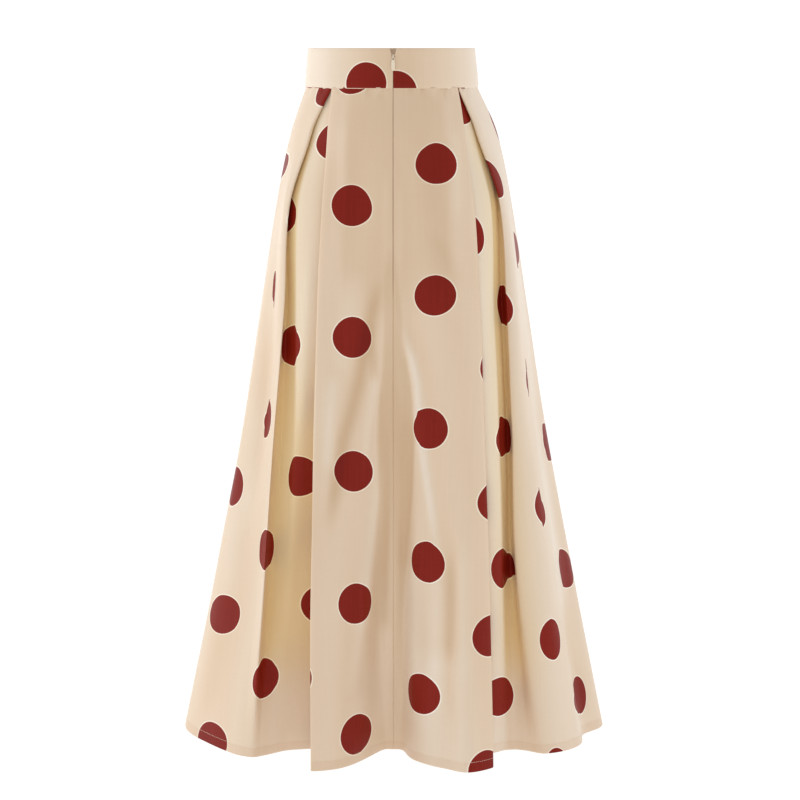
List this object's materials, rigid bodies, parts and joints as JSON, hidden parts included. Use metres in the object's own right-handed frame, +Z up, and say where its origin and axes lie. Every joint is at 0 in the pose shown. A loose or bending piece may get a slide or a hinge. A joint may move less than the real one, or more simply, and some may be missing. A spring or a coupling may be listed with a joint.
{
  "type": "flared maxi skirt",
  "caption": "Floor-length flared skirt with deep inverted pleats, a wide fitted waistband and an invisible zip at the centre back, in its worn, hollow form.",
  "frame": {"origin": "centre of the waistband's ring, where the wearer's waist holds the skirt", "axes": "+Z up along the wearer, +Y towards the skirt's back, where the zip is, +X towards the wearer's left"},
  "size_m": [0.6079, 0.3934, 0.9711],
  "materials": {
    "taffeta": "crisp cream taffeta with a soft sheen, printed with rust-brown polka dots",
    "zip_tape": "matt woven tape in the cloth's cream",
    "zip_metal": "cream enamel on metal, satin"
  },
  "bodies": {
    "skirt": {"waistband": "taffeta", "back_left_panel": "taffeta", "back_right_panel": "taffeta", "front_panel": "taffeta", "zip_tape_left": "zip_tape", "zip_tape_right": "zip_tape", "zip_slider": "zip_metal", "zip_bottom_stop": "zip_metal"},
    "pull_tab": {"zip_pull_tab": "zip_metal"}
  },
  "joints": [
    {"name": "pull_tab_hinge", "type": "hinge", "parent": "skirt", "child": "pull_tab", "pos_m": [0, 0.09397, 0.0176], "axis": [1, 0, 0], "range_deg": [0, 150]}
  ]
}
